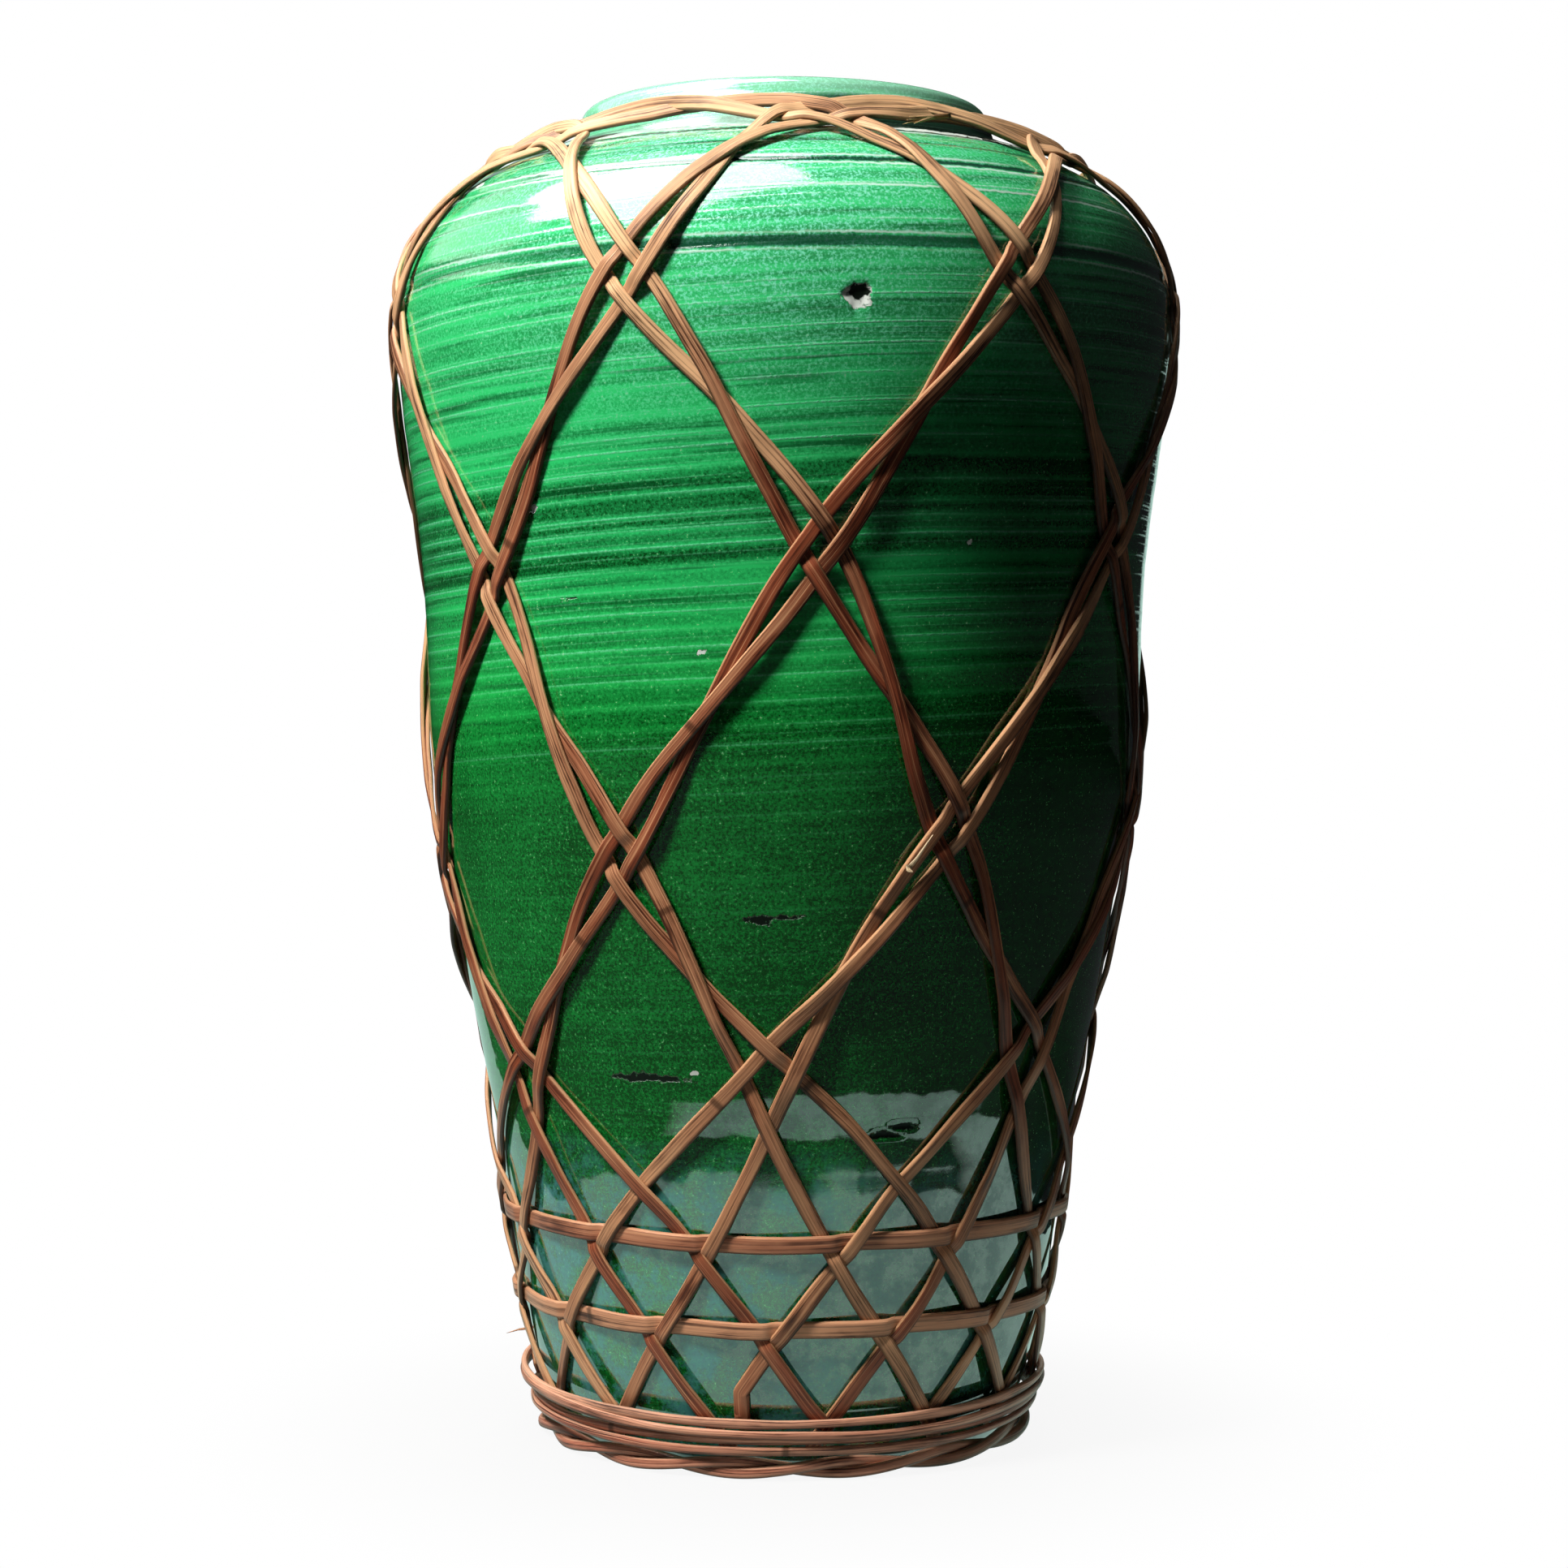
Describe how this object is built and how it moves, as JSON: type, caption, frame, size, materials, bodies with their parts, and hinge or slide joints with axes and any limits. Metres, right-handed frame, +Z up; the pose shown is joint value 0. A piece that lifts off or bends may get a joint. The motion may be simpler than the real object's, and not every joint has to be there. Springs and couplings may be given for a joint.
{
  "type": "bamboo-laced ceramic vase",
  "caption": "Green-glazed stoneware vase with a round shoulder and short collar, held in a diagonal lacing of split bamboo strips with horizontal bands and a wound foot.",
  "frame": {"origin": "centre of the foot, on the surface it stands on", "axes": "+Z up along the vase's axis, -Y towards the pictured front, +X to the right of that front"},
  "size_m": [0.1791, 0.1784, 0.3],
  "materials": {
    "glaze": "glossy green glaze with pale throwing lines",
    "strip": "split bamboo, bare, fine lengthwise grain",
    "band": "split bamboo, darkened with age",
    "strand": "split bamboo strand, darkened with age"
  },
  "bodies": {
    "root": {"vase_body": "glaze", "lacing_strip_1a": "strip", "lacing_strip_1b": "strip", "lacing_strip_2a": "strip", "lacing_strip_2b": "strip", "lacing_strip_3a": "strip", "lacing_strip_3b": "strip", "lacing_strip_4a": "strip", "lacing_strip_4b": "strip", "lacing_strip_5a": "strip", "lacing_strip_5b": "strip", "lacing_strip_6a": "strip", "lacing_strip_6b": "strip", "lacing_strip_7a": "strip", "lacing_strip_7b": "strip", "upper_band": "band", "lower_band": "band", "foot_winding": "strand", "foot_border_a": "strand", "foot_border_b": "strand"}
  },
  "joints": []
}
